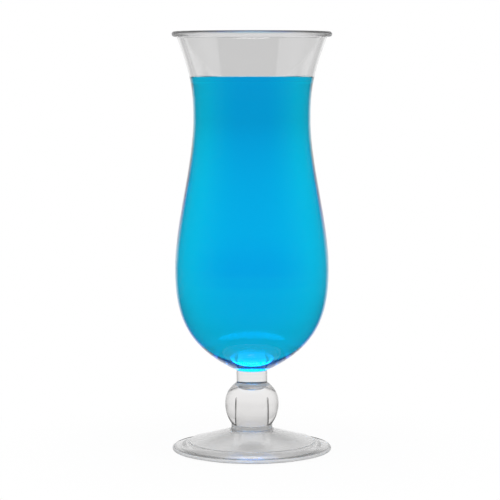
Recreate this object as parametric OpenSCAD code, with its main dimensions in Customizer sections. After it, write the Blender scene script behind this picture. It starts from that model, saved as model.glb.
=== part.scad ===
// Hurricane glass
// A clear moulded hurricane glass that holds a blue drink. The bowl has a beaded rim, a flare,
// a waist, a belly and a collar. The stem is a ball with a socket at each end: the bowl's spigot
// is glued into the upper one, and a pin on the broad conical foot into the lower one. Lengths
// are millimetres and z is up. The foot rests on z = 0, and the axis of the glass is the z axis.

/* [Bowl] */
// Diameter over the bead at the rim
rim_d = 78.8; // [72:0.2:86]
// Thickness of the bead
bead_d = 2.6; // [2.2:0.1:3.6]
// Reach of the bead past the wall below it
bead_reach = 1.95; // [1.4:0.05:2.1]
// Lean of the wall at the rim, in degrees
flare_angle = 21; // [14:1:28]
// Diameter at the waist
waist_d = 57.8; // [50:0.2:64]
// Diameter at the belly
belly_d = 76.2; // [66:0.2:84]
// Height from the waist to the top of the rim
rim_rise = 43.3; // [36:0.1:56]
// Height from the belly to the waist
waist_rise = 73.7; // [56:0.1:90]
// Height from the collar to the belly
belly_rise = 50.6; // [40:0.1:60]
// Thickness of the wall
wall_t = 2.2; // [1.6:0.1:3]

/* [Bowl curves] */
// Pull of the flare away from the rim, as a share of the flare's height
flare_rim_share = 0.5; // [0.3:0.01:0.6]
// Pull of the flare away from the waist, as a share of the flare's height
flare_waist_share = 0.33; // [0.2:0.01:0.4]
// Pull of the side away from the waist, as a share of the side's height
side_waist_share = 0.3; // [0.2:0.01:0.45]
// Pull of the side away from the belly, as a share of the side's height
side_belly_share = 0.31; // [0.2:0.01:0.45]
// Pull of the base away from the belly, as a share of the base's height
base_belly_share = 0.46; // [0.3:0.01:0.6]
// Reach of the base's rounding, as a share of the way from the collar out to the belly
base_reach_share = 0.82; // [0.6:0.01:0.95]
// Rise of the base's rounding, as a share of the base's height
base_rise_share = 0.235; // [0.1:0.005:0.35]

/* [Stem] */
// Diameter of the collar under the bowl
collar_d = 15.4; // [13:0.2:18]
// Height of the collar between the ball and the bowl
collar_h = 6.4; // [4:0.1:12]
// Diameter of the ball
ball_d = 26.8; // [24:0.2:32]
// Height of the ball between its flat ends
ball_h = 20.8; // [18:0.1:26]
// Diameter of the ball's flat base
ball_base_d = 20; // [19:0.2:22]
// Diameter of the bowl's spigot and of the foot's pin
spigot_d = 10.5; // [8:0.1:12]
// Length of the bowl's spigot
spigot_l = 4.3; // [2:0.1:5]
// Height of the foot's pin
pin_h = 11.3; // [8:0.1:12]
// Gap round the spigot and the pin in their sockets
weld_gap = 0.05; // [0.02:0.01:0.2]
// Gap at the ends of the spigot and the pin
glue_gap = 0.1; // [0.05:0.05:0.3]

/* [Foot] */
// How much wider the foot is than the rim
foot_margin = 0.4; // [-6:0.2:8]
// Height of the seat under the ball
foot_h = 13.2; // [11:0.1:18]
// Drop from the seat to the top of the foot's slope
boss_h = 2.3; // [1.8:0.1:4]
// Margin of the seat round the ball's base
seat_margin = 0.2; // [0.1:0.05:1]
// Fillet between the boss and the slope
fillet_r = 1.2; // [0.4:0.1:2]
// Thickness of the foot's plate
foot_t = 2.6; // [1.8:0.1:3.2]
// Distance from the foot's edge in to the fine step on its slope
step_inset = 7.9; // [5:0.1:12]
// Width of the step
step_w = 0.3; // [0.2:0.05:0.6]
// Height of the step
step_h = 0.3; // [0.1:0.05:0.4]
// Radius of the foot's round edge
edge_r = 0.85; // [0.5:0.05:1.2]
// Height of the middle of the round edge
edge_h = 1.35; // [1.25:0.05:1.8]
// Distance from the foot's edge in to the ring that rests on the table
ring_inset = 2.85; // [2:0.05:5]
// Width of the resting ring
ring_w = 2.4; // [1.5:0.1:4]
// Width of the slope from the resting ring up into the recess
ring_slope_w = 2; // [1:0.1:3]
// Diameter of the flat in the middle of the recess
recess_flat_d = 12; // [8:0.5:16]

/* [Drink] */
// Depth of the drink's surface below the top of the rim
drink_drop = 21.8; // [8:0.2:60]

/* [Hidden] */

$fn = 96;
curve_steps = 20;
arc_steps = 10;
overrun = 1;
edge_end_angle = -60;
clear = [0.90, 0.93, 0.95, 0.40];
drink_blue = [0.00, 0.62, 0.90, 0.80];

// Radii
rim_r = rim_d / 2;
bead_r = bead_d / 2;
lip_r = wall_t / 2;
waist_r = waist_d / 2;
belly_r = belly_d / 2;
collar_r = collar_d / 2;
ball_r = ball_d / 2;
ball_base_r = ball_base_d / 2;
spigot_r = spigot_d / 2;
socket_r = spigot_r + weld_gap;
seat_r = ball_base_r + seat_margin;
foot_r = (rim_d + foot_margin) / 2;

// Heights, stacked up from the table
seat_z = foot_h;
ball_z = seat_z + ball_h / 2;
ball_top_z = seat_z + ball_h;
spigot_z = ball_top_z - spigot_l;
pin_z = seat_z + pin_h;
base_z = ball_top_z + collar_h;
belly_z = base_z + belly_rise;
waist_z = belly_z + waist_rise;
rim_z = waist_z + rim_rise;
drink_z = rim_z - drink_drop;

// Points along a cubic curve with four control points, and its unit heading there
function curve_point(c, s) =
    pow(1 - s, 3) * c[0] + 3 * s * pow(1 - s, 2) * c[1] + 3 * s * s * (1 - s) * c[2] + pow(s, 3) * c[3];
function curve_slope(c, s) =
    pow(1 - s, 2) * (c[1] - c[0]) + 2 * s * (1 - s) * (c[2] - c[1]) + s * s * (c[3] - c[2]);
function curve_heading(c, s) = curve_slope(c, s) / norm(curve_slope(c, s));

// Unit vector from a wall that heads downwards towards the inside of the glass
function inward(heading) = [heading[1], -heading[0]];

// Point on a curve, moved inwards by inset
function inset_point(c, s, inset) = curve_point(c, s) + inset * inward(curve_heading(c, s));

// Points of a circular arc
function arc(centre, r, from, to) =
    [for (i = [0:arc_steps]) let (a = from + (to - from) * i / arc_steps) centre + r * [cos(a), sin(a)]];

// Radius of an arc that starts upright and moves in by dr over a height dz
function bulge_r(dr, dz) = (dr * dr + dz * dz) / (2 * dr);

// The wall's outside, in three curves from the rim to the collar
wall_top = [rim_r - bead_reach, rim_z - lip_r - (wall_t - lip_r) * sin(flare_angle)];
flare_h = wall_top[1] - waist_z;
flare_curve = [
    wall_top,
    wall_top - flare_rim_share * flare_h * [tan(flare_angle), 1],
    [waist_r, waist_z + flare_waist_share * flare_h],
    [waist_r, waist_z]
];
side_curve = [
    [waist_r, waist_z],
    [waist_r, waist_z - side_waist_share * waist_rise],
    [belly_r, belly_z + side_belly_share * waist_rise],
    [belly_r, belly_z]
];
base_curve = [
    [belly_r, belly_z],
    [belly_r, belly_z - base_belly_share * belly_rise],
    [collar_r + base_reach_share * (belly_r - collar_r), base_z + base_rise_share * belly_rise],
    [collar_r, base_z]
];
function wall_line(inset) = concat(
    [for (c = [flare_curve, side_curve, base_curve]) for (i = [0:curve_steps - 1])
        inset_point(c, i / curve_steps, inset)],
    [inset_point(base_curve, 1, inset)]
);

// Outside of the bowl, from the rim's top to the end of the spigot
bead_centre = [rim_r - bead_r, rim_z - bead_r];
bowl_outline = concat(
    [[0, rim_z], [bead_centre[0], rim_z]],
    wall_line(0),
    [[collar_r, ball_top_z], [spigot_r, ball_top_z]],
    [[spigot_r, spigot_z], [0, spigot_z]]
);

// Inside of the bowl: the round lip, the wall and a dished floor that carries on its slope
lip_centre = inset_point(flare_curve, 0, wall_t - lip_r);
floor_edge = inset_point(base_curve, 1, wall_t);
floor_heading = curve_heading(base_curve, 1);
floor_angle = atan2(-floor_heading[1], -floor_heading[0]);
floor_r = floor_edge[0] / sin(floor_angle);
floor_centre = [0, floor_edge[1] + floor_r * cos(floor_angle)];
cavity_outline = concat(
    [[0, rim_z + overrun], [lip_centre[0], rim_z + overrun]],
    arc(lip_centre, lip_r, 90, 180 - flare_angle),
    [for (p = wall_line(wall_t)) if (p[1] < lip_centre[1]) p],
    arc(floor_centre, floor_r, floor_angle - 90, -90)
);

// Ball: two arcs that meet at its widest, cut flat at both ends, with a socket in each end
upper_r = bulge_r(ball_r - collar_r, ball_h / 2);
lower_r = bulge_r(ball_r - ball_base_r, ball_h / 2);
ball_outline = concat(
    [[0, spigot_z - glue_gap], [socket_r, spigot_z - glue_gap], [socket_r, ball_top_z]],
    arc([ball_r - upper_r, ball_z], upper_r, asin(ball_h / 2 / upper_r), 0),
    arc([ball_r - lower_r, ball_z], lower_r, 0, -asin(ball_h / 2 / lower_r)),
    [[socket_r, seat_z], [socket_r, pin_z + glue_gap], [0, pin_z + glue_gap]]
);

// Foot: a pin on a boss, a slope from the boss over a step to the round edge, and a recess underneath
slope_top = [seat_r, seat_z - boss_h];
edge_centre = [foot_r - edge_r, edge_h];
slope_run = edge_centre - slope_top;
slope_angle = atan2(-slope_run[1], slope_run[0]) - asin(edge_r / norm(slope_run));
function slope_z(r) = slope_top[1] - (r - slope_top[0]) * tan(slope_angle);
function recess_z(r) = slope_z(r) - foot_t / cos(slope_angle);
fillet_centre = [seat_r + fillet_r, slope_z(seat_r + fillet_r) + fillet_r / cos(slope_angle)];
step_r = foot_r - step_inset;
step_low = [step_r, slope_z(step_r)];
step_high = [step_r - step_w, slope_z(step_r - step_w) + step_h];
ring_outer_r = foot_r - ring_inset;
ring_inner_r = ring_outer_r - ring_w;
recess_r = ring_inner_r - ring_slope_w;
recess_flat_r = recess_flat_d / 2;
foot_outline = concat(
    [[0, pin_z], [spigot_r, pin_z], [spigot_r, seat_z], [seat_r, seat_z]],
    arc(fillet_centre, fillet_r, 180, 270 - slope_angle),
    [step_high, step_low],
    arc(edge_centre, edge_r, 90 - slope_angle, edge_end_angle),
    [[ring_outer_r, 0], [ring_inner_r, 0]],
    [[recess_r, recess_z(recess_r)], [recess_flat_r, recess_z(recess_flat_r)]],
    [[0, recess_z(recess_flat_r)]]
);

module revolve(outline) {
    rotate_extrude() polygon(outline);
}

module bead() {
    rotate_extrude() translate(bead_centre) circle(bead_r);
}

module bowl() {
    color(clear) difference() {
        union() {
            revolve(bowl_outline);
            bead();
        }
        revolve(cavity_outline);
    }
}

module ball_stem() {
    color(clear) revolve(ball_outline);
}

module foot() {
    color(clear) revolve(foot_outline);
}

module drink() {
    color(drink_blue) intersection() {
        revolve(cavity_outline);
        cylinder(r = rim_r, h = drink_z);
    }
}

bowl();
ball_stem();
foot();
drink();
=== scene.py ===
"""Hurricane glass: a clear moulded glass with a ball stem, holding a blue drink.

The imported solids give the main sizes, and the rest are named here as in the part's source. Each piece
is turned again as a smooth mesh, so that light bends through it without facets, and stands for its
solid. Lengths are metres, z is up, and the camera looks along +y.
"""

import math

import bmesh
import bpy
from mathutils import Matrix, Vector


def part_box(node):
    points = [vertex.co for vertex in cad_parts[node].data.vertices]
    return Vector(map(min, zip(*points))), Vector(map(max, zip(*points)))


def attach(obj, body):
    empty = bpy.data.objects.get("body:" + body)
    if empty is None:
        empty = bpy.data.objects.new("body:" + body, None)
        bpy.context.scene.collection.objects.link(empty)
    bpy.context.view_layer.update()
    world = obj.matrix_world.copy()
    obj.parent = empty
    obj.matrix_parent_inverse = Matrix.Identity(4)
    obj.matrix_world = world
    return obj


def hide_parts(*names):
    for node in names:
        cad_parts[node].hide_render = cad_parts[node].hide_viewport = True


MM = 0.001

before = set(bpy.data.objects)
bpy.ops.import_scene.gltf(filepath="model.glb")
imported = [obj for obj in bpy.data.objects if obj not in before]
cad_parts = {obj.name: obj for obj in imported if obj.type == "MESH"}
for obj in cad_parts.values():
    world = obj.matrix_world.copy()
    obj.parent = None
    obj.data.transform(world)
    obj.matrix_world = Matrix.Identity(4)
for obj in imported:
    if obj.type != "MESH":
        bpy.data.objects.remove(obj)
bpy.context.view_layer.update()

# Sizes of the bowl that its box does not give
WALL_T = 2.2 * MM
BEAD_R = 1.3 * MM
BEAD_REACH = 1.95 * MM
FLARE_ANGLE = math.radians(21)
WAIST_R = 28.9 * MM
BELLY_R = 38.1 * MM
COLLAR_R = 7.7 * MM
COLLAR_H = 6.4 * MM
BELLY_RISE = 50.6 * MM
WAIST_RISE = 73.7 * MM
LIP_R = WALL_T / 2
FLARE_SHARES = (0.5, 0.33)
SIDE_SHARES = (0.3, 0.31)
BASE_SHARES = (0.46, 0.82, 0.235)

# Sizes of the stem and the foot
SPIGOT_R = 5.25 * MM
WELD_GAP = 0.05 * MM
GLUE_GAP = 0.1 * MM
BALL_BASE_R = 10.0 * MM
SEAT_R = 10.2 * MM
BOSS_H = 2.3 * MM
FILLET_R = 1.2 * MM
FOOT_T = 2.6 * MM
STEP_INSET = 7.9 * MM
STEP_W = 0.3 * MM
STEP_H = 0.3 * MM
EDGE_R = 0.85 * MM
EDGE_H = 1.35 * MM
EDGE_END = math.radians(-60)
RING_INSET = 2.85 * MM
RING_W = 2.4 * MM
RING_SLOPE_W = 2.0 * MM
RECESS_FLAT_R = 6.0 * MM

# Small radii that a mould leaves on corners, and how far the drink reaches into the wall that it wets
CORNER_R = 0.2 * MM
SEAT_CORNER_R = CORNER_R / 2
STEP_ROUND_R = 0.12 * MM
SOFT_CORNER_R = 0.6 * MM
WET_LAP = 0.12 * MM

# The drink's surface climbs the wall a little
MENISCUS_H = 0.15 * MM
MENISCUS_W = 1.0 * MM

# How finely the pieces are turned
TURN_STEPS = 192
CURVE_STEPS = 64
ARC_STEPS = 16
CORNER_STEPS = 6
CREASE_ANGLE = math.radians(35)

# Sizes that the solids give
foot_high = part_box("foot")[1]
ball_low, ball_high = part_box("ball_stem")
bowl_low, bowl_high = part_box("bowl")
drink_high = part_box("drink")[1]
foot_r = foot_high.x
pin_z = foot_high.z
ball_r = ball_high.x
seat_z = ball_low.z
ball_top_z = ball_high.z
spigot_z = bowl_low.z
rim_r = bowl_high.x
rim_z = bowl_high.z
drink_z = drink_high.z

# Sizes that follow from both
socket_r = SPIGOT_R + WELD_GAP
base_z = ball_top_z + COLLAR_H
belly_z = base_z + BELLY_RISE
waist_z = belly_z + WAIST_RISE


# Outlines


def point(r, z):
    """A point of an outline: its distance from the axis, and its height."""
    return Vector((r, z))


def curve_point(c, s):
    """Point on a cubic curve with four control points."""
    t = 1 - s
    return t ** 3 * c[0] + 3 * s * t * t * c[1] + 3 * s * s * t * c[2] + s ** 3 * c[3]


def curve_heading(c, s):
    """Unit heading of that curve."""
    t = 1 - s
    return (t * t * (c[1] - c[0]) + 2 * s * t * (c[2] - c[1]) + s * s * (c[3] - c[2])).normalized()


def inset_point(c, s, inset):
    """Point on a curve that heads downwards, moved towards the inside of the glass."""
    heading = curve_heading(c, s)
    return curve_point(c, s) + inset * point(heading.y, -heading.x)


def arc(centre, r, start, end, steps=ARC_STEPS):
    """Points on a circle from one angle to another."""
    angles = [start + (end - start) * i / steps for i in range(steps + 1)]
    return [centre + r * point(math.cos(a), math.sin(a)) for a in angles]


def rounded(before, corner, after, r):
    """The corner of an outline, rounded off by an arc."""
    u = (before - corner).normalized()
    v = (after - corner).normalized()
    half = u.angle(v) / 2
    centre = corner + (u + v).normalized() * (r / math.sin(half))
    start = corner + u * (r / math.tan(half)) - centre
    end = corner + v * (r / math.tan(half)) - centre
    a = math.atan2(start.y, start.x)
    turn = math.atan2(start.x * end.y - start.y * end.x, start.dot(end))
    return arc(centre, r, a, a + turn, CORNER_STEPS)


def bulge_r(dr, dz):
    """Radius of an arc that starts upright and moves in by dr over a height dz."""
    return (dr * dr + dz * dz) / (2 * dr)


# The wall's outside, in three curves from the rim to the collar
wall_top = point(rim_r - BEAD_REACH, rim_z - LIP_R - (WALL_T - LIP_R) * math.sin(FLARE_ANGLE))
flare_h = wall_top.y - waist_z
flare_curve = (
    wall_top,
    wall_top - FLARE_SHARES[0] * flare_h * point(math.tan(FLARE_ANGLE), 1),
    point(WAIST_R, waist_z + FLARE_SHARES[1] * flare_h),
    point(WAIST_R, waist_z),
)
side_curve = (
    point(WAIST_R, waist_z),
    point(WAIST_R, waist_z - SIDE_SHARES[0] * WAIST_RISE),
    point(BELLY_R, belly_z + SIDE_SHARES[1] * WAIST_RISE),
    point(BELLY_R, belly_z),
)
base_curve = (
    point(BELLY_R, belly_z),
    point(BELLY_R, belly_z - BASE_SHARES[0] * BELLY_RISE),
    point(COLLAR_R + BASE_SHARES[1] * (BELLY_R - COLLAR_R), base_z + BASE_SHARES[2] * BELLY_RISE),
    point(COLLAR_R, base_z),
)


def wall_line(inset):
    """The wall from the rim downwards, moved inwards by inset."""
    curves = (flare_curve, side_curve, base_curve)
    shares = [i / CURVE_STEPS for i in range(CURVE_STEPS)]
    return [inset_point(curve, share, inset) for curve in curves for share in shares]


def inside_line(lap):
    """The inside of the bowl: the wall, and a dished floor that carries its slope on to the axis.

    A point lies just where the drink ends on the wall. With a lap, the line lies that far in the wall.
    """
    inset = WALL_T - lap
    edge = inset_point(base_curve, 1, inset)
    heading = curve_heading(base_curve, 1)
    slope = math.atan2(-heading.y, -heading.x)
    r = edge.x / math.sin(slope)
    dish = arc(point(0, edge.y + r * math.cos(slope)), r, slope - math.pi / 2, -math.pi / 2)
    dish[-1].x = 0
    wall = wall_line(inset)
    above = [p for p in wall if p.y > drink_z]
    below = [p for p in wall if p.y < drink_z]
    share = (above[-1].y - drink_z) / (above[-1].y - below[0].y)
    return above + [above[-1].lerp(below[0], share)] + below + dish


def bowl_outline():
    """From the axis up the inside, over the lip and the bead, and down the outside to the spigot's end."""
    lip_centre = inset_point(flare_curve, 0, WALL_T - LIP_R)
    bead_centre = point(rim_r - BEAD_R, rim_z - BEAD_R)
    inside = [p for p in inside_line(0) if p.y < lip_centre.y]
    lip = arc(lip_centre, LIP_R, math.pi - FLARE_ANGLE, math.pi / 2)
    outside = [p for p in wall_line(0) if (p - bead_centre).length > BEAD_R]
    under = outside[0] - bead_centre
    bead = arc(bead_centre, BEAD_R, math.pi / 2, math.atan2(under.y, under.x))
    collar_top = point(COLLAR_R, base_z)
    shoulder = point(COLLAR_R, ball_top_z)
    spigot_top = point(SPIGOT_R, ball_top_z)
    spigot_end = point(SPIGOT_R, spigot_z)
    return (
        inside[::-1] + lip + bead + outside
        + rounded(outside[-1], collar_top, shoulder, CORNER_R)
        + rounded(collar_top, shoulder, spigot_top, CORNER_R)
        + [spigot_top, spigot_end, point(0, spigot_z)]
    )


def ball_outline():
    """From the end of the upper socket, over the ball, to the end of the lower one.

    Each rounded corner stands in for the two points of the arc that lie nearest to it.
    """
    half = (ball_top_z - seat_z) / 2
    middle = seat_z + half
    upper = bulge_r(ball_r - COLLAR_R, half)
    lower = bulge_r(ball_r - BALL_BASE_R, half)
    top = arc(point(ball_r - upper, middle), upper, math.asin(half / upper), 0, CURVE_STEPS)
    base = arc(point(ball_r - lower, middle), lower, 0, -math.asin(half / lower), CURVE_STEPS)
    mouth = point(socket_r, ball_top_z)
    pin_mouth = point(socket_r, seat_z)
    upper_end_z = spigot_z - GLUE_GAP
    lower_end_z = pin_z + GLUE_GAP
    return (
        [point(0, upper_end_z), point(socket_r, upper_end_z), mouth]
        + rounded(mouth, top[0], top[2], CORNER_R)
        + top[2:] + base[1:-2]
        + rounded(base[-3], base[-1], pin_mouth, CORNER_R)
        + [pin_mouth, point(socket_r, lower_end_z), point(0, lower_end_z)]
    )


def foot_outline():
    """From the top of the pin, over the boss, the slope and the edge, to the middle of the recess."""
    slope_top = point(SEAT_R, seat_z - BOSS_H)
    edge_centre = point(foot_r - EDGE_R, EDGE_H)
    run = edge_centre - slope_top
    slope = math.atan2(-run.y, run.x) - math.asin(EDGE_R / run.length)

    def slope_z(r):
        return slope_top.y - (r - slope_top.x) * math.tan(slope)

    def recess(r):
        return point(r, slope_z(r) - FOOT_T / math.cos(slope))

    pin_foot = point(SPIGOT_R, seat_z)
    fillet_r = SEAT_R + FILLET_R
    fillet_centre = point(fillet_r, slope_z(fillet_r) + FILLET_R / math.cos(slope))
    fillet = arc(fillet_centre, FILLET_R, math.pi, 1.5 * math.pi - slope)
    step_r = foot_r - STEP_INSET
    step_low = point(step_r, slope_z(step_r))
    step_high = point(step_r - STEP_W, slope_z(step_r - STEP_W) + STEP_H)
    edge = arc(edge_centre, EDGE_R, math.pi / 2 - slope, EDGE_END)
    ring_outer = point(foot_r - RING_INSET, 0)
    ring_inner = point(ring_outer.x - RING_W, 0)
    recess_edge = recess(ring_inner.x - RING_SLOPE_W)
    flat_edge = recess(RECESS_FLAT_R)
    flat_axis = point(0, flat_edge.y)
    return (
        [point(0, pin_z), point(SPIGOT_R, pin_z), pin_foot]
        + rounded(pin_foot, point(SEAT_R, seat_z), fillet[0], SEAT_CORNER_R)
        + fillet
        + rounded(fillet[-1], step_high, step_low, STEP_ROUND_R)
        + rounded(step_high, step_low, edge[0], STEP_ROUND_R)
        + edge
        + rounded(edge[-1], ring_outer, ring_inner, SOFT_CORNER_R)
        + rounded(ring_outer, ring_inner, recess_edge, SOFT_CORNER_R)
        + rounded(ring_inner, recess_edge, flat_edge, SOFT_CORNER_R)
        + rounded(recess_edge, flat_edge, flat_axis, SOFT_CORNER_R)
        + [flat_axis]
    )


def drink_outline():
    """From the middle of the drink's surface out to its brim, and down the wall to the axis."""
    side = [p for p in inside_line(WET_LAP) if p.y <= drink_z]
    brim = side[0].x
    surface = []
    for i in range(CURVE_STEPS):
        r = brim * math.sqrt(i / CURVE_STEPS)
        surface.append(point(r, drink_z - MENISCUS_H * (1 - math.exp((r - brim) / MENISCUS_W))))
    return surface + side


def turned(name, outline):
    """A mesh turned about z from an outline that runs from the axis to the axis.

    The axis has one vertex at each end, so the faces that meet there are triangles.
    """
    mesh = bpy.data.meshes.new(name)
    work = bmesh.new()
    rings = []
    for p in outline:
        if p.x == 0:
            rings.append([work.verts.new((0, 0, p.y))])
            continue
        ring = []
        for i in range(TURN_STEPS):
            a = 2 * math.pi * i / TURN_STEPS
            ring.append(work.verts.new((p.x * math.cos(a), p.x * math.sin(a), p.y)))
        rings.append(ring)
    for one, two in zip(rings, rings[1:]):
        for i in range(TURN_STEPS):
            j = (i + 1) % TURN_STEPS
            corners = [one[i % len(one)], one[j % len(one)], two[j % len(two)], two[i % len(two)]]
            work.faces.new(list(dict.fromkeys(corners)))
    bmesh.ops.recalc_face_normals(work, faces=work.faces)
    work.to_mesh(mesh)
    work.free()
    mesh.shade_smooth()
    mesh.set_sharp_from_angle(angle=CREASE_ANGLE)
    piece = bpy.data.objects.new(name, mesh)
    bpy.context.scene.collection.objects.link(piece)
    return piece


# Nodes


def new_material(name):
    material = bpy.data.materials.new(name)
    material.use_nodes = True
    tree = material.node_tree
    return material, tree, tree.nodes["Principled BSDF"]


def add_node(tree, kind, **settings):
    """A new node with its settings."""
    node = tree.nodes.new(kind)
    for name, setting in settings.items():
        setattr(node, name, setting)
    return node


def put(tree, node, **values):
    """Sets a node's inputs: a plain value is set, and another node's output is linked.

    An input goes by its name, with underscores for spaces, or by its number after an underscore.
    """
    for name, value in values.items():
        key = int(name[1:]) if name[0] == "_" else name.replace("_", " ")
        socket = node.inputs[key]
        if isinstance(value, bpy.types.NodeSocket):
            tree.links.new(value, socket)
        else:
            socket.default_value = value
    return node


def math_node(tree, operation, *values):
    node = add_node(tree, "ShaderNodeMath", operation=operation)
    put(tree, node, **{f"_{i}": v for i, v in enumerate(values)})
    return node.outputs[0]


def map_range(tree, value, low, high, start, end, kind="SMOOTHSTEP"):
    """A value that goes from start to end as another goes from low to high."""
    node = add_node(tree, "ShaderNodeMapRange", interpolation_type=kind)
    put(tree, node, Value=value, From_Min=low, From_Max=high, To_Min=start, To_Max=end)
    return node.outputs["Result"]


def position(tree):
    """Where a point is."""
    return add_node(tree, "ShaderNodeNewGeometry").outputs["Position"]


def split(tree, vector):
    """The X, Y and Z of a vector."""
    return put(tree, add_node(tree, "ShaderNodeSeparateXYZ"), _0=vector).outputs


def noise(tree, where, scale, detail):
    node = put(tree, add_node(tree, "ShaderNodeTexNoise"), Vector=where, Scale=scale, Detail=detail)
    return node.outputs["Fac"]


def turned_away(tree):
    """How far a face turns away from the ray that meets it: 0 face on, and 1 along it."""
    return add_node(tree, "ShaderNodeLayerWeight").outputs["Facing"]


def level_ramp(tree, value, stops):
    """Colours along a value. Each stop is a place, and a grey level or a colour."""
    low = stops[0][0]
    high = stops[-1][0]
    ramp = add_node(tree, "ShaderNodeValToRGB")
    elements = ramp.color_ramp.elements
    while len(elements) < len(stops):
        elements.new(0.5)
    for element, (stop, level) in zip(elements, stops):
        colour = level if isinstance(level, tuple) else (level, level, level)
        element.position = (stop - low) / (high - low)
        element.color = (*colour, 1)
    put(tree, ramp, Fac=map_range(tree, value, low, high, 0.0, 1.0, "LINEAR"))
    return ramp.outputs["Color"]


def mix_colours(tree, factor, one, two):
    """A colour that goes from one to two as the factor goes from 0 to 1."""
    node = add_node(tree, "ShaderNodeMix", data_type="RGBA")
    put(tree, node, _0=factor, _6=one, _7=two)
    return node.outputs[2]


def mix_shaders(tree, factor, one, two):
    """A shader that goes from one to two as the factor goes from 0 to 1."""
    return put(tree, add_node(tree, "ShaderNodeMixShader"), _0=factor, _1=one, _2=two).outputs[0]


# Plastic: waves where it flowed into the mould, a fine haze, and scuffs where the foot stands
PLASTIC_IOR = 1.57
CLEAR = (0.972, 0.97, 0.97)
SOLID_CLEAR = (0.94, 0.93, 0.925)
FLOW_SCALE = 60.0
FLOW_DETAIL = 2.0
FLOW_STRENGTH = 0.03
FLOW_DEPTH = 0.4 * MM
HAZE_SCALE = 900.0
HAZE_DETAIL = 3.0
HAZE_SPAN = (0.45, 0.8)
HAZE_DULLNESS = 0.02
SCUFF_SPAN = (0.1 * MM, 0.8 * MM)
SCUFF_DULLNESS = 0.6


def clear_plastic(name, colour, dullness=0.0, clearness=1.0):
    """Clear plastic, as polished or as dull as its mould or its wear left it."""
    material, tree, shader = new_material(name)
    where = position(tree)
    flow = noise(tree, where, FLOW_SCALE, FLOW_DETAIL)
    haze = noise(tree, where, HAZE_SCALE, HAZE_DETAIL)
    scuffs = map_range(tree, split(tree, where)["Z"], *SCUFF_SPAN, SCUFF_DULLNESS, 0.0)
    polish = map_range(tree, haze, *HAZE_SPAN, dullness, dullness + HAZE_DULLNESS)
    bump = add_node(tree, "ShaderNodeBump")
    put(tree, bump, Height=flow, Strength=FLOW_STRENGTH, Distance=FLOW_DEPTH)
    put(
        tree, shader,
        Base_Color=(*colour, 1),
        IOR=PLASTIC_IOR,
        Transmission_Weight=clearness,
        Normal=bump.outputs["Normal"],
        Roughness=math_node(tree, "MAXIMUM", scuffs, polish),
    )
    return material


def joined_plastic():
    """Plastic under the drink or in a glued joint: light goes straight on there, with no air to bend it."""
    material, tree, shader = new_material("joined_plastic")
    put(tree, shader, Alpha=0.0)
    return material


# Glue: a real glued joint, painted near black with fine voids as painted shade at the joint
GLUE_SHADE_COLOUR = (0.02, 0.018, 0.016)
GLUE_DULLNESS = 0.7
VOID_SCALE = 260.0
VOID_DETAIL = 3.0
VOID_SPAN = (0.35, 0.6)
VOID_SHARE = 0.6
GLUE_AWAY_SPAN = (0.5, 0.85)


def shading_glue(name, face_on_share, along_share):
    """Cured glue, painted near black as painted shade, which hides one share of what is behind it face on,
    and another along it.
    """
    material, tree, shader = new_material(name)
    hidden = map_range(tree, turned_away(tree), *GLUE_AWAY_SPAN, face_on_share, along_share)
    voids = noise(tree, position(tree), VOID_SCALE, VOID_DETAIL)
    patchy = map_range(tree, voids, *VOID_SPAN, VOID_SHARE, 1.0)
    put(
        tree, shader,
        Base_Color=(*GLUE_SHADE_COLOUR, 1),
        Roughness=GLUE_DULLNESS,
        Specular_IOR_Level=0.0,
        Alpha=math_node(tree, "MULTIPLY", hidden, patchy),
    )
    return material


# Drink: its level of green by height, its colour where its skin turns away, a paler cyan painted on as
# painted light, and its dye
DRINK_IOR = 1.34
DRINK_GREENS = (
    (70.0 * MM, 0.67),
    (84.3 * MM, 0.665),
    (85.5 * MM, 0.6),
    (96.0 * MM, 0.6),
    (104.0 * MM, 0.645),
    (125.0 * MM, 0.62),
    (160.0 * MM, 0.58),
)
PAINTED_EDGE_LIGHT_COLOUR = (0.0, 0.76, 1.0, 1)
PAINTED_EDGE_LIGHT_SPAN = (0.02, 0.2)
DYE_COLOUR = (0.0, 0.981, 1.0, 1)
DYE_DENSITY = 150.0


def blue_drink():
    """A clear dyed drink, a little stronger in colour towards the top.

    Its open surface bends light as it does in air, and the rest of its skin as it does against plastic.
    """
    material, tree, shader = new_material("blue_drink")
    stops = [(height, (0.0, green, 1.0)) for height, green in DRINK_GREENS]
    strength = level_ramp(tree, split(tree, position(tree))["Z"], stops)
    # Painted light: the drink's colour goes to a paler cyan where its skin turns from the view
    away = map_range(tree, turned_away(tree), *PAINTED_EDGE_LIGHT_SPAN, 0.0, 1.0, "LINEAR")
    skin = add_node(tree, "ShaderNodeAttribute", attribute_name="open_surface").outputs["Fac"]
    put(
        tree, shader,
        Base_Color=mix_colours(tree, away, strength, PAINTED_EDGE_LIGHT_COLOUR),
        IOR=map_range(tree, skin, 0.0, 1.0, DRINK_IOR / PLASTIC_IOR, DRINK_IOR, "LINEAR"),
        Roughness=0.0,
        Transmission_Weight=1.0,
    )
    dye = put(tree, add_node(tree, "ShaderNodeVolumeAbsorption"), Color=DYE_COLOUR, Density=DYE_DENSITY)
    tree.links.new(dye.outputs["Volume"], tree.nodes["Material Output"].inputs["Volume"])
    return material


# Finishes of a face, in the order of the materials on each moulded piece
AIR, JOINED, THIN_GLUE_SHADE, GLUE_POOL_SHADE, SATIN, WORN, SCUFFED, HAZY = range(8)

# What counts as touching, as lying flat and as facing up
NEAR = 0.01 * MM
NEAR_FLAT = 0.01
FACING_UP = 0.5

# How far the finishes reach: from the seam under the collar, from the foot's rim and from the drink's top
SEAM_H = 0.9 * MM
SCUFFED_W = 1.6 * EDGE_R
OPEN_H = 1.0 * MM


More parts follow.
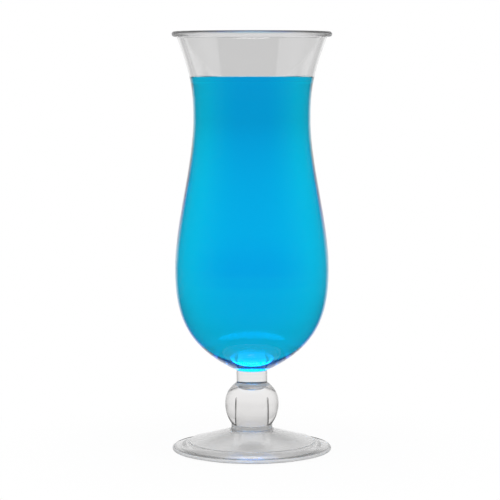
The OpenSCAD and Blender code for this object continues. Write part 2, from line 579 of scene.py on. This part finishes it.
def bowl_face(r, z, facing):
    """The bead is worn, and a film of glue makes the foot of the collar hazy.

    The inside under the drink and the spigot in the ball meet no air. Glue lies under the shoulder, painted
    dark as painted shade.
    """
    if z > rim_z - 2 * BEAD_R and r > rim_r - 2 * BEAD_R:
        return WORN
    if abs(facing.x) > NEAR_FLAT and z < ball_top_z - CORNER_R:
        return JOINED
    if z > spigot_z + NEAR and z < ball_top_z + NEAR:
        return GLUE_POOL_SHADE
    if z < ball_top_z + NEAR:
        return JOINED
    if facing.x > 0 and z < ball_top_z + SEAM_H:
        return HAZY
    return JOINED if facing.x < 0 and z < drink_z else AIR


def ball_face(r, z, facing):
    """The top is hazy. Glue lies on it and under the spigot, and lines the socket of the pin, all painted
    dark as painted shade.
    """
    flat = abs(facing.x) < NEAR_FLAT
    if not flat and r > socket_r + NEAR:
        return HAZY if z > ball_top_z - SEAM_H else AIR
    if flat and z > ball_top_z - NEAR:
        return GLUE_POOL_SHADE
    if flat and abs(z - spigot_z + GLUE_GAP) < NEAR:
        return GLUE_POOL_SHADE
    if flat:
        return JOINED
    return THIN_GLUE_SHADE if z < pin_z else JOINED


def foot_face(r, z, facing):
    """The edge is scuffed, the underside satin, and the side of the boss and the step are hazy.

    The pin, and the seat under the ball, meet no air.
    """
    if r > foot_r - SCUFFED_W:
        return SCUFFED
    if facing.y < 0:
        return SATIN
    if SEAT_R - CORNER_R < r < SEAT_R + FILLET_R:
        return HAZY
    if abs(r - foot_r + STEP_INSET + STEP_W / 2) < STEP_W:
        return HAZY
    return JOINED if z > seat_z - NEAR and r < BALL_BASE_R - CORNER_R else AIR


def mark_faces(piece, finish_of):
    """Gives each face its finish, by its place and by the way that it faces: outwards and up."""
    for face in piece.data.polygons:
        x, y, z = face.center
        r = math.hypot(x, y)
        outward = (face.normal.x * x + face.normal.y * y) / r
        face.material_index = finish_of(r, z, point(outward, face.normal.z))


def mark_open(drink):
    """Marks the drink's surface, where it meets air and not the wall."""
    marks = drink.data.attributes.new("open_surface", "FLOAT", "FACE")
    for face in drink.data.polygons:
        marks.data[face.index].value = float(face.normal.z > FACING_UP and face.center.z > drink_z - OPEN_H)


def add_piece(name, outline, materials, node):
    piece = turned(name, outline)
    for material in materials:
        piece.data.materials.append(material)
    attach(piece, "root")
    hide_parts(node)
    return piece


# Pieces
plastic = clear_plastic("clear_plastic", CLEAR)
solid = clear_plastic("solid_plastic", SOLID_CLEAR)
finishes = [
    joined_plastic(),
    # The glue films: real joints, painted dark as painted shade
    shading_glue("thin_glue_shade", face_on_share=0.02, along_share=0.8),
    shading_glue("glue_pool_shade", face_on_share=0.6, along_share=0.6),
    clear_plastic("satin_plastic", CLEAR, dullness=0.2),
    clear_plastic("worn_plastic", CLEAR, dullness=0.4, clearness=0.9),
    clear_plastic("scuffed_plastic", CLEAR, dullness=0.5, clearness=0.35),
    clear_plastic("hazy_plastic", CLEAR, dullness=0.35, clearness=0.5),
]
bowl = add_piece("glass_bowl", bowl_outline(), [plastic, *finishes], "bowl")
mark_faces(bowl, bowl_face)
ball = add_piece("glass_ball", ball_outline(), [solid, *finishes], "ball_stem")
mark_faces(ball, ball_face)
foot = add_piece("glass_foot", foot_outline(), [plastic, *finishes], "foot")
mark_faces(foot, foot_face)
drink = add_piece("drink_body", drink_outline(), [blue_drink()], "drink")
mark_open(drink)

# Studio: a white floor and world, and a pale tent round the glass that only shows through it
STAGE_STEPS = 96
FLOOR_R = 1.2
FLOOR_DROP = 0.2 * MM
TENT_R = 0.4
TENT_H = 0.32


def grey(level):
    return (level, level, level, 1)


def glow(tree, colour, strength=1.0):
    return put(tree, add_node(tree, "ShaderNodeEmission"), Color=colour, Strength=strength).outputs[0]


def dimmed_inside(tree, light, share):
    """One for light that only went through the glass, and a share for light also reflected inside it."""
    return map_range(tree, light["Glossy Depth"], 0.0, 1.0, 1.0, share)


def stage_piece(name, work, material):
    """Turns a bmesh into a piece of the studio."""
    mesh = bpy.data.meshes.new(name)
    work.to_mesh(mesh)
    work.free()
    mesh.materials.append(material)
    piece = bpy.data.objects.new(name, mesh)
    bpy.context.scene.collection.objects.link(piece)
    return piece


# Floor: its paper, and the share of plain white that the camera sees in the shadow near the glass
PAPER_LEVEL = 0.9
PAPER_DULLNESS = (0.8, 1.0)
GRAIN_SCALE = 400.0
GRAIN_DETAIL = 4.0
SHADOW_SPAN = (50 * MM, 160 * MM)
SHADOW_WHITE_SHARE = 0.95

# Its levels in a mirrored ray, by direction from the axis: 0 is to the side, and 1 straight behind
FLOOR_MIRROR_LEVELS = ((0.0, 0.04), (0.8, 0.04), (0.93, 0.95), (1.0, 0.95))

# Its levels through the glass, by distance from the axis: a painted shadow under the foot, and a painted
# lighter ring just outside it; and the shares left of them in front of the stem, a painted shade there
FLOOR_SHADE_AND_LIGHT_LEVELS = (
    (0.0, 0.45),
    (6 * MM, 0.5),
    (12 * MM, 0.85),
    (36 * MM, 0.9),
    (40 * MM, 1.0),
    (200 * MM, 0.9),
)
STEM_FRONT_SHADE_SHARES = ((-34 * MM, 1.0), (-28 * MM, 0.65), (-16 * MM, 0.65), (-10 * MM, 1.0))
FLOOR_INSIDE_SHARE = 0.2


def floor_material():
    material, tree, shader = new_material("pale_floor_painted_shade")
    light = add_node(tree, "ShaderNodeLightPath").outputs
    parts = split(tree, position(tree))
    x_squared = math_node(tree, "POWER", parts["X"], 2.0)
    y_squared = math_node(tree, "POWER", parts["Y"], 2.0)
    r = math_node(tree, "SQRT", math_node(tree, "ADD", x_squared, y_squared))

    grain = put(tree, add_node(tree, "ShaderNodeTexNoise"), Scale=GRAIN_SCALE, Detail=GRAIN_DETAIL)
    dullness = map_range(tree, grain.outputs["Fac"], 0.0, 1.0, *PAPER_DULLNESS)
    put(tree, shader, Base_Color=grey(PAPER_LEVEL), Roughness=dullness)
    white_share = map_range(tree, r, *SHADOW_SPAN, SHADOW_WHITE_SHARE, 1.0)
    seen_share = math_node(tree, "MULTIPLY", light["Is Camera Ray"], white_share)
    seen = mix_shaders(tree, seen_share, shader.outputs[0], glow(tree, grey(1.0)))

    behind = level_ramp(tree, math_node(tree, "DIVIDE", parts["Y"], r), FLOOR_MIRROR_LEVELS)
    mirrored = mix_shaders(tree, light["Is Glossy Ray"], seen, glow(tree, behind))

    # Painted shadow and painted light on the floor, as the glass shows it
    levels = level_ramp(tree, r, FLOOR_SHADE_AND_LIGHT_LEVELS)
    front_shade = level_ramp(tree, parts["Y"], STEM_FRONT_SHADE_SHARES)
    dimmed = math_node(tree, "MULTIPLY", front_shade, dimmed_inside(tree, light, FLOOR_INSIDE_SHARE))
    through = mix_shaders(tree, light["Is Transmission Ray"], mirrored, glow(tree, levels, dimmed))
    tree.links.new(through, tree.nodes["Material Output"].inputs["Surface"])
    return material


def add_floor():
    work = bmesh.new()
    bmesh.ops.create_circle(work, cap_ends=True, segments=STAGE_STEPS, radius=FLOOR_R)
    floor = stage_piece("floor", work, floor_material())
    floor.location.z = -FLOOR_DROP


# Tent: its levels by height, and where its sides go over into its back and its front, by y over its radius
TENT_BACK_LEVELS = ((0.0, 0.92), (40 * MM, 0.9), (150 * MM, 0.72), (TENT_H, 0.72))
TENT_SIDE_LEVELS = ((0.0, 0.75), (40 * MM, 0.8), (90 * MM, 0.9), (TENT_H, 0.9))
TENT_FRONT_LEVELS = ((0.0, 0.8), (TENT_H, 0.75))
TENT_BACK_SPAN = (0.45, 0.7)
TENT_FRONT_SPAN = (-0.45, -0.65)
TENT_SIDE_INSIDE_SHARE = 0.3
TENT_FRONT_INSIDE_SHARE = 0.1

# A grey panel on its back, above a height: the back is paler beside it, and paler still further out
PANEL_W = 59 * MM
PANEL_X = -4 * MM
PANEL_Z = 165 * MM
PANEL_SOFT_W = 3 * MM
PANEL_SOFT_H = 5 * MM
BESIDE_LIFT = 0.115
OUTER_SPAN = (60 * MM, 110 * MM)
OUTER_LIFT = 0.18


def panel_strength(tree, light, parts):
    """The strength of the tent's back: one, and more beside the panel, from its height upwards.

    It is more only for a ray that met no drink and no glued joint, so the drink shows no panel.
    """
    off_panel = math_node(tree, "ABSOLUTE", math_node(tree, "SUBTRACT", parts["X"], PANEL_X))
    beside = map_range(tree, off_panel, PANEL_W / 2, PANEL_W / 2 + PANEL_SOFT_W, 0.0, BESIDE_LIFT)
    off_middle = math_node(tree, "ABSOLUTE", parts["X"])
    outer = map_range(tree, off_middle, *OUTER_SPAN, 0.0, OUTER_LIFT)
    pale = math_node(tree, "ADD", beside, outer)
    above = map_range(tree, parts["Z"], PANEL_Z, PANEL_Z + PANEL_SOFT_H, 0.0, 1.0)
    empty = map_range(tree, light["Transparent Depth"], 0.0, 1.0, 1.0, 0.0)
    lift = math_node(tree, "MULTIPLY", math_node(tree, "MULTIPLY", pale, above), empty)
    return math_node(tree, "ADD", 1.0, lift)


def tent_material():
    material, tree, shader = new_material("tent")
    tree.nodes.remove(shader)
    light = add_node(tree, "ShaderNodeLightPath").outputs
    parts = split(tree, position(tree))
    z = parts["Z"]
    back = glow(tree, level_ramp(tree, z, TENT_BACK_LEVELS), panel_strength(tree, light, parts))
    side_dimmed = dimmed_inside(tree, light, TENT_SIDE_INSIDE_SHARE)
    side = glow(tree, level_ramp(tree, z, TENT_SIDE_LEVELS), side_dimmed)
    front_dimmed = dimmed_inside(tree, light, TENT_FRONT_INSIDE_SHARE)
    front = glow(tree, level_ramp(tree, z, TENT_FRONT_LEVELS), front_dimmed)
    along = math_node(tree, "DIVIDE", parts["Y"], TENT_R)
    rear = mix_shaders(tree, map_range(tree, along, *TENT_BACK_SPAN, 0.0, 1.0), side, back)
    whole = mix_shaders(tree, map_range(tree, along, *TENT_FRONT_SPAN, 0.0, 1.0), rear, front)
    tree.links.new(whole, tree.nodes["Material Output"].inputs["Surface"])
    return material


def add_tent():
    work = bmesh.new()
    bmesh.ops.create_cone(work, segments=STAGE_STEPS, radius1=TENT_R, radius2=TENT_R, depth=TENT_H)
    tent = stage_piece("tent", work, tent_material())
    tent.location.z = TENT_H / 2
    tent.visible_camera = False
    tent.visible_glossy = False
    tent.visible_diffuse = False
    tent.visible_shadow = False


# World: white to the camera, and grey to plain light. Its levels through the glass go by degrees of height
SKY_LEVEL = 0.7
SKY_REAR_LEVELS = ((-10, 0.8), (20, 0.8), (30, 0.9), (50, 0.9), (62, 0.4), (75, 0.1))
SKY_FRONT_LEVELS = ((-10, 0.5), (30, 0.3), (55, 0.3), (62, 0.7), (70, 0.7), (75, 0.1))
SKY_FRONT_SPAN = (0.0, -0.4)

# Its levels in a mirrored ray: 0 is to the side, and 1 straight behind
SKY_MIRROR_LEVELS = ((0.0, 0.03), (0.8, 0.03), (0.93, 0.95), (1.0, 0.95))


def add_world():
    world = bpy.data.worlds.new("studio")
    bpy.context.scene.world = world
    world.use_nodes = True
    tree = world.node_tree
    light = add_node(tree, "ShaderNodeLightPath").outputs
    parts = split(tree, add_node(tree, "ShaderNodeTexCoord").outputs["Generated"])

    def sky(colour):
        return put(tree, add_node(tree, "ShaderNodeBackground"), Color=colour).outputs[0]

    def by_height(levels):
        stops = [(math.sin(math.radians(degrees)), level) for degrees, level in levels]
        return sky(level_ramp(tree, parts["Z"], stops))

    behind = sky(level_ramp(tree, parts["Y"], SKY_MIRROR_LEVELS))
    mirrored = mix_shaders(tree, light["Is Glossy Ray"], sky(grey(SKY_LEVEL)), behind)
    to_front = map_range(tree, parts["Y"], *SKY_FRONT_SPAN, 0.0, 1.0)
    room = mix_shaders(tree, to_front, by_height(SKY_REAR_LEVELS), by_height(SKY_FRONT_LEVELS))
    through = mix_shaders(tree, light["Is Transmission Ray"], mirrored, room)
    seen = mix_shaders(tree, light["Is Camera Ray"], through, sky(grey(1.0)))
    tree.links.new(seen, tree.nodes["World Output"].inputs["Surface"])


# Soft box above the glass, a little in front of it
SOFTBOX_AT = (0, -0.14, 0.66)
SOFTBOX_W = 0.31
SOFTBOX_D = 0.29
SOFTBOX_LEVEL = 5.0


def add_softbox(name):
    """A soft box that faces the middle of the glass. Its level is how bright it looks, where 1 is white."""
    lamp = bpy.data.lights.new(name, "AREA")
    lamp.shape = "RECTANGLE"
    lamp.size = SOFTBOX_W
    lamp.size_y = SOFTBOX_D
    lamp.energy = SOFTBOX_LEVEL * math.pi * SOFTBOX_W * SOFTBOX_D
    box = bpy.data.objects.new(name, lamp)
    out = Vector(SOFTBOX_AT) - Vector((0, 0, rim_z / 2))
    box.location = SOFTBOX_AT
    box.rotation_euler = out.to_track_quat("Z", "Y").to_euler()
    bpy.context.scene.collection.objects.link(box)


add_floor()
add_tent()
add_world()
add_softbox("softbox_top")

# Camera: as far and as high as the ellipse of the foot and the straight line of the drink say
CAMERA_DISTANCE = 1.0
CAMERA_HEIGHT = 192 * MM
CAMERA_SIDE = -0.94 * MM
CAMERA_PITCH = math.radians(5.242)
LENS_MM = 145.84
SENSOR_MM = 36
CLIP_START = 10 * MM


def add_camera():
    data = bpy.data.cameras.new("camera")
    data.lens = LENS_MM
    data.sensor_width = SENSOR_MM
    data.clip_start = CLIP_START
    camera = bpy.data.objects.new("camera", data)
    camera.location = (CAMERA_SIDE, -CAMERA_DISTANCE, CAMERA_HEIGHT)
    camera.rotation_euler = (math.pi / 2 - CAMERA_PITCH, 0, 0)
    bpy.context.scene.collection.objects.link(camera)
    bpy.context.scene.camera = camera


add_camera()

# How many times light may bend and bounce: through every wall of the glass, and back
GLASS_BOUNCES = 24
GLOSSY_BOUNCES = 8

scene = bpy.context.scene
scene.view_settings.view_transform = "Standard"
scene.cycles.max_bounces = GLASS_BOUNCES
scene.cycles.transmission_bounces = GLASS_BOUNCES
scene.cycles.transparent_max_bounces = GLASS_BOUNCES
scene.cycles.glossy_bounces = GLOSSY_BOUNCES
